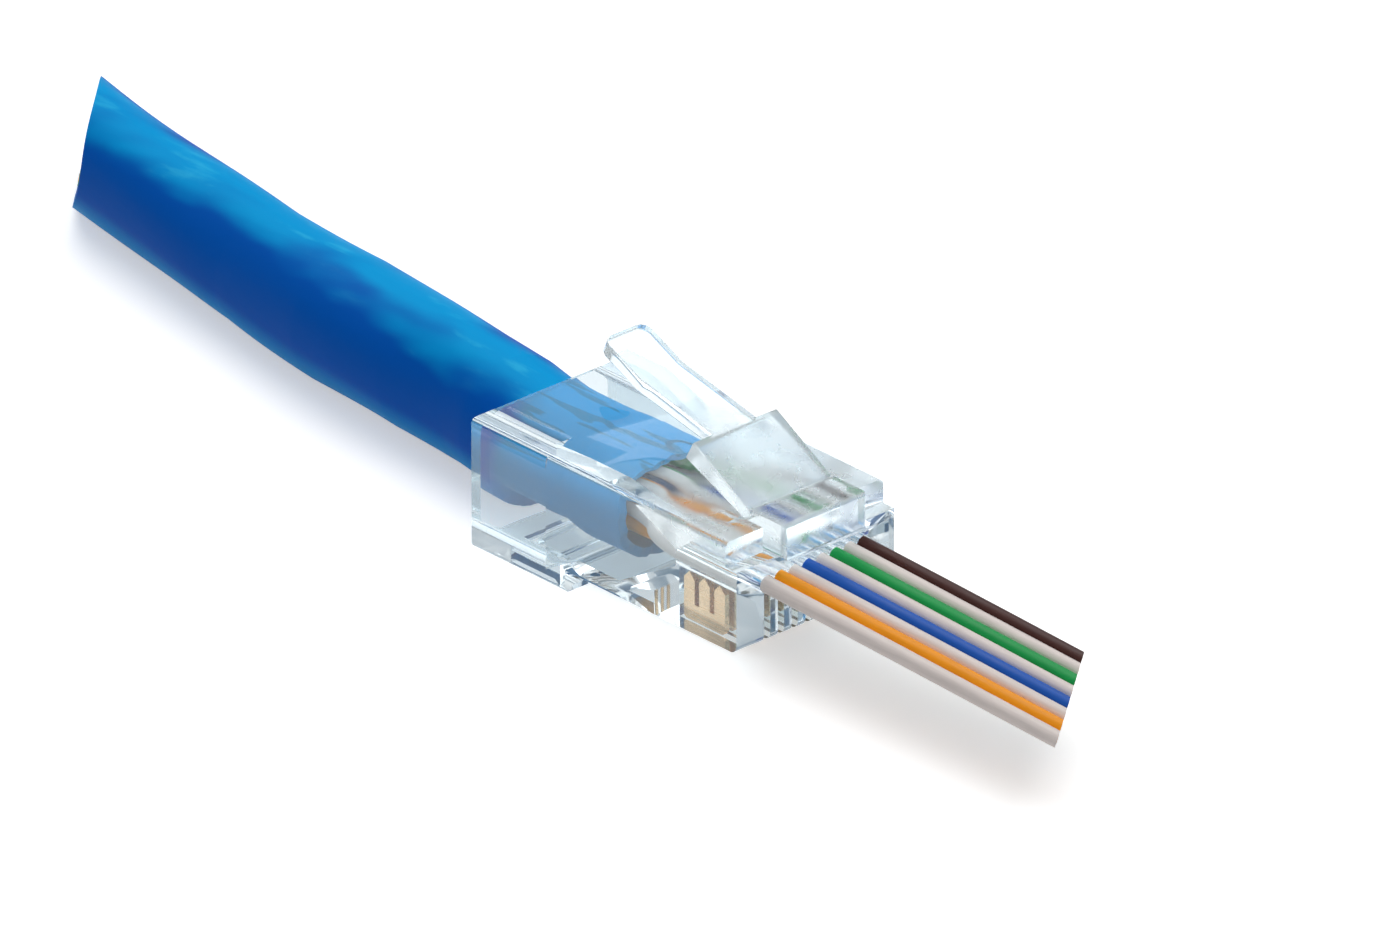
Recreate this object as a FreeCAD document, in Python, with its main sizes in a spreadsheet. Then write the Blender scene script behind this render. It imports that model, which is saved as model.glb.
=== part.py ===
"""Pass-through modular plug, 8 positions, on the end of a four-pair cable.

A clear housing with a flexing latch, eight blade contacts in a comb, and the cable's
eight insulated conductors, which run through the housing and out at the nose.

Millimetres. +X points to the nose, +Y across the contacts, +Z up, latch uppermost.
The origin is at the bottom centre of the plug itself, without its cable.
"""
import FreeCAD, Part
import math
import os
import re

import Sketcher

Vector = FreeCAD.Vector

# ---------------------------------------------------------------- driving dimensions
SIZES = [
    ("BodyLength", 21.5, "housing, rear rim to the face of the comb"),
    ("BodyWidth", 11.68, "housing across the contacts"),
    ("BodyHeight", 7.9, "rear block, underside to top"),
    ("BlockLength", 7.6, "deep rear block that holds the jacket"),
    ("FloorRise", 1.4, "underside of the front section above the block's"),
    ("EdgeRound", 0.35, "moulded radius on the long edges"),
    ("CombRound", 0.5, "radius at the foot of the comb"),
    ("LedgeSetback", 0.88, "upper front corners behind the comb's face"),
    ("LedgeHeight", 6.4, "height of the ledge in front of them"),
    ("NoseWidth", 6.2, "middle block of the nose, and the latch plate"),
    ("NoseReach", 0.8, "nose block in front of the comb's face"),
    ("NoseDepth", 2.4, "latch root behind the comb's face"),
    ("NoseRise", 0.67, "nose block above the top"),
    ("NoseFoot", 6.3, "underside of the nose block's overhang"),
    ("NoseRound", 0.3, "radius on the nose block's front edges"),
    ("RoofWall", 0.35, "wall over the cable"),
    ("FloorWall", 0.4, "wall under the cable in the rear block"),
    ("ThroatWall", 0.45, "wall under the cable in the front section"),
    ("MouthWidth", 8.6, "width of the cable entry"),
    ("MouthDepth", 5.3, "straight part of the cable entry"),
    ("MouthRound", 1.2, "corner radius of the cable entry"),
    ("TaperLength", 2.6, "entry narrows to the throat over this length"),
    ("ThroatWidth", 8.24, "width of the throat"),
    ("ThroatLength", 3.25, "straight part of the throat"),
    ("FunnelLength", 4.6, "throat narrows to the row of channels"),
    ("RowHeight", 4.95, "centres of the row of conductors"),
    ("ContactPitch", 1.02, "conductors and contacts, centre to centre"),
    ("ChannelPlay", 0.1, "channel's bore over the insulation"),
    ("BladeThick", 0.32, "contact blade"),
    ("BladeLength", 3.3, "contact blade, front to back"),
    ("BladeSetback", 2.0, "blade behind the comb's face"),
    ("BladeFoot", 1.0, "solid foot of the blade"),
    ("BladeLift", 0.06, "foot of the blade above the comb's underside"),
    ("BladeRound", 0.25, "radius on the foot's two corners"),
    ("TineSlit", 0.36, "gap between two piercing tines"),
    ("TinePoint", 0.45, "height of a tine's point"),
    ("TineGap", 0.08, "tine's point below the insulation"),
    ("SlotPlay", 0.07, "slot's clearance on each side of a blade"),
    ("SlotBehind", 0.3, "slot behind the blade"),
    ("BarLength", 1.9, "pocket behind the blades, along the plug"),
    ("BarWidth", 7.4, "pocket behind the blades, across"),
    ("BarDepth", 0.75, "pocket behind the blades, deep end"),
    ("BarSetback", 7.7, "pocket's front edge behind the comb's face"),
    ("WindowLength", 4.0, "strain relief window in the block's floor"),
    ("WindowWidth", 5.4, "strain relief window, across"),
    ("WindowSetback", 1.7, "window's rear edge from the rear rim"),
    ("PawlWidth", 4.4, "strain relief pawl in the window"),
    ("PawlLength", 3.4, "strain relief pawl, from its hinge"),
    ("PawlHinge", 0.2, "thickness of the pawl's flexing web"),
    ("KnuckleRadius", 0.4, "latch root, half its thickness"),
    ("SeatPlay", 0.1, "clearance round the latch root"),
    ("PlateAngle", 28.7, "degrees, latch plate above level"),
    ("PlateRun", 4.9, "latch plate from root to shoulders"),
    ("ShoulderThick", 1.3, "latch plate at its shoulders"),
    ("LeverWidth", 3.2, "finger lever across"),
    ("LeverThick", 0.85, "finger lever"),
    ("LeverAngle", 11.5, "degrees, middle of the lever"),
    ("LeverRun", 6.1, "middle of the lever, along its slope"),
    ("TipAngle", 24.0, "degrees, raised tip of the lever"),
    ("TipRun", 3.3, "raised tip, along its slope"),
    ("TipRound", 0.7, "corner radius of the tip seen from above"),
    ("CableDiameter", 7.1, "jacket outside the plug"),
    ("JacketWall", 0.6, "jacket's wall"),
    ("NeckWidth", 7.6, "jacket where the throat flattens it, across"),
    ("NeckHeight", 5.5, "jacket where the throat flattens it, upright"),
    ("NeckStart", 5.15, "the flattening begins this far inside the rear rim"),
    ("NeckTaper", 2.7, "length of the flattening"),
    ("JacketDepth", 11.0, "jacket's end inside the rear rim"),
    ("HollowDepth", 3.2, "jacket is hollow from this far inside the rear rim"),
    ("WireDiameter", 0.96, "one insulated conductor"),
    ("WireDroop", 0.95, "conductors' ends below the row"),
    ("SnipReach", 20.6, "conductors' ends in front of the comb, mid row"),
    ("SnipTurnAngle", 39.3, "degrees, front snip turned from square across"),
    ("SnipLeanAngle", -16.7, "degrees, front snip leaning from upright"),
    ("TailReach", 46.5, "cable's far cut behind the rear rim"),
    ("TailTurnAngle", 42.4, "degrees, far cut turned from square across"),
    ("TailLeanAngle", 10.7, "degrees, far cut leaning from upright"),
]

# The four conductors of the near side (-Y), outermost first, each with its mirror image
# on the far side. In the bundle a conductor lies this far across and above the middle,
# and it moves into the row between two places past the jacket's end. All four numbers
# are in contact pitches; an outer conductor leads and an inner one follows, so that the
# slanting stretches pass each other.
FAN_OUT = [
    # near side, far side, across, up, starts, ends
    ("white_orange", "brown", -1.44, 0.35, 0.4, 2.4),
    ("orange", "white_brown", -1.36, -0.85, 0.8, 3.1),
    ("white_green", "green", -0.64, 1.4, 0.1, 3.05),
    ("blue", "white_blue", -0.5, -0.36, 2.2, 3.8),
]
CONTACTS = 2 * len(FAN_OUT)

# The cable's route behind the plug, chosen by hand: straight out of the rear rim, then
# off to the far side while it comes down on to the surface the plug stands on.
CABLE_ROUTE = [
    Vector(-12.0, 0.5, 3.975),
    Vector(-20.0, 1.8, 3.95),
    Vector(-33.0, 3.0, 3.85),
    Vector(-46.0, 5.05, 3.7),
    Vector(-62.6, 8.3, 3.62),
]

document = FreeCAD.newDocument("modular_plug")
sheet = document.addObject("Spreadsheet::Sheet", "Sizes")
for row, (alias, number, meaning) in enumerate(SIZES, start=1):
    sheet.set(f"A{row}", alias)
    sheet.set(f"B{row}", str(number))
    sheet.set(f"C{row}", meaning)
    sheet.setAlias(f"B{row}", alias)
document.recompute()

ALIASES = re.compile(r"\b(" + "|".join(alias for alias, _, _ in SIZES) + r")\b")


def bound(expression):
    """The expression with every size named as a cell of the sheet."""
    return ALIASES.sub(r"Sizes.\1", expression)


def value(expression):
    """What an expression of sizes comes to, as a plain number."""
    result = sheet.evalExpression(bound(expression))
    return float(getattr(result, "Value", result))


# ------------------------------------------------- places, worked out from the sizes
REAR = "(-(BodyLength + NoseReach) / 2)"
COMB = f"({REAR} + BodyLength)"
NOSE = f"({COMB} + NoseReach)"
STEP = f"({REAR} + BlockLength)"
CAVITY_TOP = "(BodyHeight - RoofWall)"
CAVITY_FLOOR = "FloorWall"
THROAT_FLOOR = "(FloorRise + ThroatWall)"
MOUTH_END = f"({REAR} + MouthDepth)"
THROAT_START = f"({MOUTH_END} + TaperLength)"
THROAT_END = f"({THROAT_START} + ThroatLength)"
CHANNEL_START = f"({THROAT_END} + FunnelLength)"
BLADE_FRONT = f"({COMB} - BladeSetback)"
BLADE_BACK = f"({BLADE_FRONT} - BladeLength)"
ROOT_X = f"({COMB} - NoseDepth)"
ROOT_Z = "(BodyHeight + KnuckleRadius)"
CHANNEL_BORE = "(WireDiameter + ChannelPlay)"
SLOT_WIDTH = "(BladeThick + 2 * SlotPlay)"
ROW_WIDTH = f"(ContactPitch * {CONTACTS - 1} + {CHANNEL_BORE})"
BEYOND = "1"  # how far a cutting feature runs past the face it opens
SAME = 0.01  # places closer than this count as one when edges are picked
ARC_SHARE = 0.45  # part of its shorter run that a bend takes up on each side
CUT_BLOCK = 40.0  # side of the block that removes everything past a slanting cut


def origin_plane(body, role):
    """The body's own origin plane with this role, such as XY_Plane."""
    return next(o for o in body.Origin.OriginFeatures if o.Role == role)


def attach(sketch, body, role, offset):
    """Lay a sketch on an origin plane of its body, moved along the plane's normal."""
    sketch.AttachmentSupport = [(origin_plane(body, role), "")]
    sketch.MapMode = "FlatFace"
    if offset:
        sketch.setExpression("AttachmentOffset.Base.z", bound(offset))


def place(sketch, geometry, point, across, up):
    """Hold one point of the sketch's geometry at two expressions of the sheet."""
    for kind, expression in (("DistanceX", across), ("DistanceY", up)):
        index = sketch.addConstraint(
            Sketcher.Constraint(kind, -1, 1, geometry, point, value(expression))
        )
        sketch.setExpression(f"Constraints[{index}]", bound(expression))


def outline(body, name, role, corners, offset=None):
    """A closed outline of straight lines, each corner bound to the sheet."""
    sketch = body.newObject("Sketcher::SketchObject", name)
    attach(sketch, body, role, offset)
    spots = [Vector(value(across), value(up), 0) for across, up in corners]
    for number, spot in enumerate(spots):
        following = spots[(number + 1) % len(spots)]
        sketch.addGeometry(Part.LineSegment(spot, following), False)
    for number, (across, up) in enumerate(corners):
        last = (number - 1) % len(corners)
        sketch.addConstraint(Sketcher.Constraint("Coincident", last, 2, number, 1))
        place(sketch, number, 1, across, up)
    document.recompute()
    return sketch


def ring(body, name, role, across, up, radius, offset=None):
    """A circle, its middle and radius bound to the sheet."""
    sketch = body.newObject("Sketcher::SketchObject", name)
    attach(sketch, body, role, offset)
    middle = Vector(value(across), value(up), 0)
    sketch.addGeometry(Part.Circle(middle, Vector(0, 0, 1), value(radius)), False)
    place(sketch, 0, 3, across, up)
    index = sketch.addConstraint(Sketcher.Constraint("Radius", 0, value(radius)))
    sketch.setExpression(f"Constraints[{index}]", bound(radius))
    document.recompute()
    return sketch


def oblong(across_low, across_high, up_low, up_high):
    """Corners of an upright rectangle."""
    return [
        (across_low, up_low),
        (across_high, up_low),
        (across_high, up_high),
        (across_low, up_high),
    ]


def extrude(body, kind, name, profile, length, both_sides=True, flip=False):
    """A pad or pocket of a sketch; the solid has to grow or shrink by it."""
    before = body.Shape.Volume if body.Tip else 0.0
    feature = body.newObject(f"PartDesign::{kind}", name)
    feature.Profile = profile
    feature.SideType = "Symmetric" if both_sides else "One side"
    feature.Reversed = flip
    feature.setExpression("Length", bound(length))
    document.recompute()
    check_change(body, feature, before, kind == "Pad")
    return feature


def check_change(body, feature, before, grows):
    """Stop if a feature left the solid as it was or changed it the wrong way."""
    change = body.Shape.Volume - before
    if change * (1 if grows else -1) < 1e-6:
        raise RuntimeError(f"{feature.Name} changes the volume by {change:.4f}")


def row_of(body, feature, name, count, pitch, role="Y_Axis"):
    """Repeat a feature along one axis of the body."""
    pattern = body.newObject("PartDesign::LinearPattern", name)
    pattern.Originals = [feature]
    pattern.Direction = (origin_plane(body, role), [""])
    pattern.Mode = "Spacing"
    pattern.setExpression("Offset", bound(pitch))
    pattern.Occurrences = count
    body.Tip = pattern
    document.recompute()
    return pattern


def round_edges(body, name, wanted, radius):
    """Fillet the edges of the body's tip that the test picks."""
    edges = [
        f"Edge{number}"
        for number, edge in enumerate(body.Tip.Shape.Edges, start=1)
        if wanted(edge)
    ]
    if not edges:
        raise RuntimeError(f"{name} finds no edge to round")
    base = body.Tip
    fillet = body.newObject("PartDesign::Fillet", name)
    fillet.Base = (base, edges)
    fillet.setExpression("Radius", bound(radius))
    document.recompute()
    return fillet


def runs_along(edge, axis):
    """True for a straight edge parallel to one axis, 0 for X, 1 for Y, 2 for Z."""
    if edge.Curve.TypeId != "Part::GeomLine":
        return False
    direction = edge.Curve.Direction
    return abs(direction[axis]) > 0.999


def lies_at(edge, axis, expression, within=SAME):
    """True for an edge whose middle has this coordinate."""
    return abs(edge.CenterOfMass[axis] - value(expression)) < within


# ----------------------------------------------------------------------- the housing
def make_housing():
    """The clear moulding: body, nose block, cable entry, channels, comb and pawl."""
    body = document.addObject("PartDesign::Body", "plug_housing")
    side = [
        (REAR, "0"),
        (STEP, "0"),
        (STEP, "FloorRise"),
        (COMB, "FloorRise"),
        (COMB, "LedgeHeight"),
        (f"{COMB} - LedgeSetback", "LedgeHeight"),
        (f"{COMB} - LedgeSetback", "BodyHeight"),
        (REAR, "BodyHeight"),
    ]
    extrude(body, "Pad", "Shell", outline(body, "ShellSide", "XZ_Plane", side), "BodyWidth")
    round_edges(
        body,
        "LongEdges",
        lambda edge: runs_along(edge, 0)
        and (lies_at(edge, 2, "BodyHeight") or lies_at(edge, 2, "0")),
        "EdgeRound",
    )
    round_edges(
        body,
        "CombFoot",
        lambda edge: runs_along(edge, 1)
        and lies_at(edge, 0, COMB)
        and lies_at(edge, 2, "FloorRise"),
        "CombRound",
    )
    nose = oblong(ROOT_X, NOSE, "NoseFoot", "BodyHeight + NoseRise")
    extrude(body, "Pad", "Nose", outline(body, "NoseSide", "XZ_Plane", nose), "NoseWidth")
    round_edges(
        body,
        "NoseEdges",
        lambda edge: lies_at(edge, 0, NOSE) and not lies_at(edge, 2, "NoseFoot"),
        "NoseRound",
    )
    cut_cable_entry(body)
    cut_channels(body)
    cut_comb(body)
    cut_underside(body)
    seat = ring(body, "SeatRing", "XZ_Plane", ROOT_X, ROOT_Z, "KnuckleRadius + SeatPlay")
    extrude(body, "Pocket", "LatchSeat", seat, f"NoseWidth + 2 * {BEYOND}")
    return body


def cut_cable_entry(body):
    """The entry at the rear, its taper, the throat and the funnel to the channels."""
    mouth = outline(
        body,
        "MouthEnd",
        "YZ_Plane",
        oblong("-MouthWidth / 2", "MouthWidth / 2", CAVITY_FLOOR, CAVITY_TOP),
        MOUTH_END,
    )
    extrude(body, "Pocket", "Mouth", mouth, f"MouthDepth + {BEYOND}", False)
    round_edges(
        body,
        "MouthCorners",
        lambda edge: runs_along(edge, 0)
        and lies_at(edge, 0, f"({REAR} + {MOUTH_END}) / 2", value("MouthDepth") / 4)
        and abs(abs(edge.CenterOfMass.y) - value("MouthWidth / 2")) < SAME,
        "MouthRound",
    )
    throat = outline(
        body,
        "ThroatStart",
        "YZ_Plane",
        oblong("-ThroatWidth / 2", "ThroatWidth / 2", THROAT_FLOOR, CAVITY_TOP),
        THROAT_START,
    )
    narrowing(body, "Taper", mouth, throat)
    throat_end = outline(
        body,
        "ThroatEnd",
        "YZ_Plane",
        oblong("-ThroatWidth / 2", "ThroatWidth / 2", THROAT_FLOOR, CAVITY_TOP),
        THROAT_END,
    )
    extrude(body, "Pocket", "Throat", throat_end, "ThroatLength", False)
    slot = outline(
        body,
        "FunnelEnd",
        "YZ_Plane",
        oblong(
            f"-{ROW_WIDTH} / 2",
            f"{ROW_WIDTH} / 2",
            f"RowHeight - {CHANNEL_BORE} / 2",
            f"RowHeight + {CHANNEL_BORE} / 2",
        ),
        CHANNEL_START,
    )
    narrowing(body, "Funnel", throat_end, slot)


def narrowing(body, name, wide, narrow):
    """Cut a passage whose section changes from one outline to the other."""
    before = body.Shape.Volume
    loft = body.newObject("PartDesign::SubtractiveLoft", name)
    loft.Profile = wide
    loft.Sections = [narrow]
    loft.Ruled = True
    document.recompute()
    check_change(body, loft, before, False)


def cut_channels(body):
    """One round channel for each conductor, open at the nose."""
    first = f"-ContactPitch * {(CONTACTS - 1) / 2}"
    bore = ring(
        body, "ChannelRing", "YZ_Plane", first, "RowHeight", f"{CHANNEL_BORE} / 2", NOSE
    )
    length = f"{NOSE} - {CHANNEL_START}"
    channel = extrude(body, "Pocket", "Channel", bore, length, False)
    row_of(body, channel, "ChannelRow", CONTACTS, "ContactPitch")


def cut_comb(body):
    """Slots that hold the blades, open below and at the comb's face."""
    first = f"-ContactPitch * {(CONTACTS - 1) / 2}"
    slot = outline(
        body,
        "SlotPlan",
        "XY_Plane",
        oblong(
            f"{BLADE_BACK} - SlotBehind",
            f"{COMB} + {BEYOND} / 2",
            f"{first} - {SLOT_WIDTH} / 2",
            f"{first} + {SLOT_WIDTH} / 2",
        ),
        "RowHeight",
    )
    pocket = extrude(body, "Pocket", "BladeSlot", slot, f"RowHeight - FloorRise + {BEYOND}", False)
    row_of(body, pocket, "BladeSlots", CONTACTS, "ContactPitch")


def cut_underside(body):
    """The wedge pocket behind the blades, and the window with its strain relief pawl."""
    bar_front = f"({COMB} - BarSetback)"
    wedge = outline(
        body,
        "BarSide",
        "XZ_Plane",
        [
            (f"{bar_front} - BarLength", f"FloorRise - {BEYOND} / 2"),
            (bar_front, f"FloorRise - {BEYOND} / 2"),
            (bar_front, "FloorRise + BarDepth"),
            (f"{bar_front} - BarLength", "FloorRise + BarDepth / 3"),
        ],
    )
    extrude(body, "Pocket", "BarPocket", wedge, "BarWidth")
    back = f"({REAR} + WindowSetback)"
    front = f"({back} + WindowLength)"
    window = outline(
        body,
        "WindowPlan",
        "XY_Plane",
        oblong(back, front, "-WindowWidth / 2", "WindowWidth / 2"),
        f"FloorWall + {BEYOND} / 2",
    )
    extrude(body, "Pocket", "Window", window, f"FloorWall + {BEYOND}", False)
    tip = f"({front} - PawlLength)"
    middle = f"({front} - PawlLength / 2)"
    pawl = outline(
        body,
        "PawlSide",
        "XZ_Plane",
        [
            (front, "FloorWall"),
            (front, "FloorWall - PawlHinge"),
            (f"{front} - PawlLength / 4", "FloorWall - PawlHinge"),
            (middle, "0"),
            (f"{front} - PawlLength * 3 / 4", "FloorWall - PawlHinge"),
            (tip, "0"),
            (tip, "FloorWall"),
        ],
    )
    extrude(body, "Pad", "Pawl", pawl, "PawlWidth")


# ------------------------------------------------------------------------- the latch
def make_latch():
    """Wide plate that catches in the jack, and the narrow lever a finger presses."""
    body = document.addObject("PartDesign::Body", "latch_lever")
    plate = "(PlateAngle * 1 deg)"
    top_root = (
        f"({ROOT_X} + KnuckleRadius * sin{plate})",
        f"({ROOT_Z} + KnuckleRadius * cos{plate})",
    )
    under_root = (
        f"({ROOT_X} - KnuckleRadius * sin{plate})",
        f"({ROOT_Z} - KnuckleRadius * cos{plate})",
    )
    shoulder = along(top_root, "PlateRun", "PlateAngle")
    kink = along(shoulder, "LeverRun", "LeverAngle")
    tip = along(kink, "TipRun", "TipAngle")
    wide = [
        top_root,
        shoulder,
        below(shoulder, "ShoulderThick", "PlateAngle"),
        under_root,
    ]
    narrow = [
        shoulder,
        kink,
        tip,
        below(tip, "LeverThick", "TipAngle"),
        below(kink, "LeverThick", "(LeverAngle + TipAngle) / 2"),
        below(shoulder, "LeverThick", "PlateAngle"),
    ]
    knuckle = ring(body, "RootRing", "XZ_Plane", ROOT_X, ROOT_Z, "KnuckleRadius")
    extrude(body, "Pad", "Root", knuckle, "NoseWidth")
    extrude(body, "Pad", "Plate", outline(body, "PlateSide", "XZ_Plane", wide), "NoseWidth")
    extrude(body, "Pad", "Lever", outline(body, "LeverSide", "XZ_Plane", narrow), "LeverWidth")
    round_edges(
        body,
        "TipCorners",
        lambda edge: edge.CenterOfMass.x < value(tip[0]) + value("LeverThick") / 2
        and abs(abs(edge.CenterOfMass.y) - value("LeverWidth / 2")) < SAME
        and edge.Length < value("LeverThick") * 1.1,
        "TipRound",
    )
    return body


def along(start, run, slope):
    """The corner that lies a run to the rear of another, up a slope in degrees."""
    return (
        f"({start[0]} - {run} * cos({slope} * 1 deg))",
        f"({start[1]} + {run} * sin({slope} * 1 deg))",
    )


def below(start, thick, slope):
    """The corner square below another one, for a plate at this slope."""
    return (
        f"({start[0]} - {thick} * sin({slope} * 1 deg))",
        f"({start[1]} - {thick} * cos({slope} * 1 deg))",
    )


# ---------------------------------------------------------------------- the contacts
def make_contact(number):
    """One blade: a foot that the jack's spring touches, and three piercing tines."""
    body = document.addObject("PartDesign::Body", f"contact_{number}")
    foot = "(FloorRise + BladeLift)"
    shoulder = f"({foot} + BladeFoot)"
    tip = "(RowHeight - WireDiameter / 2 - TineGap)"
    tines = 3
    width = f"((BladeLength - {tines - 1} * TineSlit) / {tines})"
    corners = [(BLADE_BACK, foot), (BLADE_FRONT, foot)]
    for tine in reversed(range(tines)):
        left = f"({BLADE_BACK} + {tine} * ({width} + TineSlit))"
        right = f"({left} + {width})"
        corners += [
            (right, f"{tip} - TinePoint"),
            (f"({left} + {right}) / 2", tip),
            (left, f"{tip} - TinePoint"),
        ]
        if tine:
            corners += [(left, shoulder), (f"{left} - TineSlit", shoulder)]
    side = outline(body, f"BladeSide{number}", "XZ_Plane", corners)
    extrude(body, "Pad", f"Blade{number}", side, "BladeThick")
    round_edges(
        body,
        f"FootCorners{number}",
        lambda edge: runs_along(edge, 1) and lies_at(edge, 2, foot),
        "BladeRound",
    )
    offset = number - 1 - (CONTACTS - 1) / 2
    body.setExpression("Placement.Base.y", bound(f"ContactPitch * {offset}"))
    return body


# ------------------------------------------------------------- the cable's own solids
def rod(points, diameter, name):
    """A round rod of straight runs joined by tangent arcs, large as the runs allow.

    Each run is a cylinder and each arc a sector of a torus, so every face is exact. The
    volume has to be the section times the length.
    """
    pieces = []
    radii = []
    length = 0.0
    start = points[0]
    for before, corner, after in zip(points, points[1:], points[2:]):
        incoming = (corner - before).normalize()
        outgoing = (after - corner).normalize()
        turn = incoming.getAngle(outgoing)
        shorter = min(corner.distanceToPoint(before), corner.distanceToPoint(after))
        back_off = ARC_SHARE * shorter
        radius = back_off / math.tan(turn / 2)
        enter = corner - incoming * back_off
        axis = incoming.cross(outgoing).normalize()
        centre = enter + axis.cross(incoming) * radius
        pieces.append(run(start, enter, diameter))
        section = Part.Face(Part.Wire(Part.Circle(enter, incoming, diameter / 2).toShape()))
        pieces.append(section.revolve(centre, axis, math.degrees(turn)))
        length += start.distanceToPoint(enter) + radius * turn
        radii.append(radius)
        start = corner + outgoing * back_off
    pieces.append(run(start, points[-1], diameter))
    length += start.distanceToPoint(points[-1])
    solid = pieces[0].fuse(pieces[1:])
    ratio = solid.Volume / (math.pi * diameter ** 2 / 4 * length)
    print(f"{name}: {length:.2f} long, radii", [round(r, 1) for r in radii],
          f"volume/section x length {ratio:.4f}")
    if abs(ratio - 1) > 0.01 or len(solid.Solids) != 1:
        raise RuntimeError(f"{name} is not its section times its length")
    return solid.Solids[0]


def run(start, end, diameter):
    """One straight run of a rod."""
    return Part.makeCylinder(diameter / 2, start.distanceToPoint(end), start, end - start)


def beyond_plane(point, yaw, pitch):
    """A block that holds everything past a plane through a point, to cut ends with."""
    corner = Vector(0, -CUT_BLOCK / 2, -CUT_BLOCK / 2)
    block = Part.makeBox(CUT_BLOCK, CUT_BLOCK, CUT_BLOCK, corner)
    turn = FreeCAD.Rotation(Vector(0, 0, 1), yaw) * FreeCAD.Rotation(Vector(0, 1, 0), -pitch)
    block.Placement = FreeCAD.Placement(point, turn)
    return block


def tail_cut():
    """Everything behind the cable's slanting far cut."""
    far = CABLE_ROUTE[-1]
    last = CABLE_ROUTE[-2]
    x = value(f"{REAR} - TailReach")
    share = (x - last.x) / (far.x - last.x)
    middle = last + (far - last) * share
    return beyond_plane(middle, 180 + value("TailTurnAngle"), value("TailLeanAngle"))


def snip_cut():
    """Everything in front of the slanting snip that ends the conductors."""
    middle = Vector(value(f"{COMB} + SnipReach"), 0, value("RowHeight"))
    return beyond_plane(middle, value("SnipTurnAngle"), value("SnipLeanAngle"))


def neck_height():
    """Height of the jacket's middle where the throat holds it."""
    return value(f"({THROAT_FLOOR} + {CAVITY_TOP}) / 2")


def oval(middle, width, height):
    """A closed oval square to the plug's length, starting at its far side."""
    wire = Part.Wire(Part.Ellipse(Vector(), width / 2, height / 2).toShape())
    wire.Placement = FreeCAD.Placement(middle, FreeCAD.Rotation(Vector(1, 1, 1), 120))
    return wire


def flattened(wall, front_end):
    """The jacket inside the plug, less a wall: round, narrowing, then the flat neck."""
    start = Vector(value(f"{REAR} + NeckStart"), CABLE_ROUTE[0].y, CABLE_ROUTE[0].z)
    neck = Vector(start.x + value("NeckTaper"), 0, neck_height())
    diameter = value("CableDiameter") - 2 * wall
    flat = oval(neck, value("NeckWidth") - 2 * wall, value("NeckHeight") - 2 * wall)
    taper = Part.makeLoft([oval(start, diameter, diameter), flat], True, True)
    front = Part.Face(flat).extrude(Vector(front_end - neck.x, 0, 0))
    return start, [taper, front]


def make_jacket():
    """The cable: solid where it lies free, hollow round the conductors in the plug."""
    diameter = value("CableDiameter")
    hollow = diameter - 2 * value("JacketWall")
    end = value(f"{REAR} + JacketDepth")
    start, outside = flattened(0, end)
    cable = rod([start] + CABLE_ROUTE, diameter, "cable").fuse(outside)
    inside = flattened(value("JacketWall"), end + value(BEYOND))[1]
    bottom = Vector(value(f"{REAR} + HollowDepth"), start.y, start.z)
    bore = run(bottom, start, hollow).fuse(inside)
    return feature("cable_jacket", cable.cut(bore).cut(tail_cut()))


def fan_of(number):
    """Name, place in the bundle and fan-out of one conductor, counted from -Y."""
    mirrored = number >= len(FAN_OUT)
    near, far, across, up, starts, ends = FAN_OUT[CONTACTS - 1 - number if mirrored else number]
    return (far, -across, up, starts, ends) if mirrored else (near, across, up, starts, ends)


def conductor_route(number):
    """Points of one conductor: in the jacket, out into the row, and down to the snip."""
    pitch = value("ContactPitch")
    _, across, up, starts, ends = fan_of(number)
    jacket_end = value(f"{REAR} + JacketDepth")
    bundled = Vector(0, across * pitch, neck_height() + up * pitch)
    in_row = Vector(0, pitch * (number - (CONTACTS - 1) / 2), value("RowHeight"))
    past_snip = value(f"{COMB} + SnipReach + BodyWidth / 2 + WireDiameter")
    return [
        bundled + Vector(value(f"{REAR} + HollowDepth"), 0, 0),
        bundled + Vector(jacket_end + starts * pitch, 0, 0),
        in_row + Vector(jacket_end + ends * pitch, 0, 0),
        in_row + Vector(value(f"{NOSE} + WireDiameter"), 0, 0),
        in_row + Vector(past_snip, 0, -value("WireDroop")),
    ]


def make_conductor(number):
    """One insulated conductor, from its pair in the jacket to the snip."""
    label = f"wire_{number + 1}_{fan_of(number)[0]}"
    wire = rod(conductor_route(number), value("WireDiameter"), label)
    return feature(label, wire.cut(snip_cut()))


def feature(name, shape):
    """A plain part of the document that holds a finished shape."""
    part = document.addObject("Part::Feature", name)
    part.Shape = shape.Solids[0] if len(shape.Solids) == 1 else shape
    part.Placement = FreeCAD.Placement()
    return part


# ---------------------------------------------------------------- build, check, write
make_housing()
make_latch()
for contact in range(1, CONTACTS + 1):
    make_contact(contact)
make_jacket()
for conductor in range(CONTACTS):
    make_conductor(conductor)
document.recompute()

for item in document.Objects:
    if "Invalid" in item.State or "Error" in item.State:
        raise RuntimeError(f"{item.Name} has failed: {item.State}")

nodes = [
    item
    for item in document.Objects
    if item.TypeId in ("PartDesign::Body", "Part::Feature")
]
for node in nodes:
    if node.Shape.isNull() or not node.Shape.isValid() or len(node.Shape.Solids) != 1:
        raise RuntimeError(f"{node.Label} is not one valid solid")

os.makedirs("parts", exist_ok=True)
for node in nodes:
    node.Label = node.Name
    node.Shape.exportStep(f"parts/{node.Label}.step")
    box = node.Shape.BoundBox
    print(f"{node.Label}: {node.Shape.Volume:.2f} mm3, x {box.XMin:.2f} {box.XMax:.2f}, "
          f"y {box.YMin:.2f} {box.YMax:.2f}, z {box.ZMin:.2f} {box.ZMax:.2f}")
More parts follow.
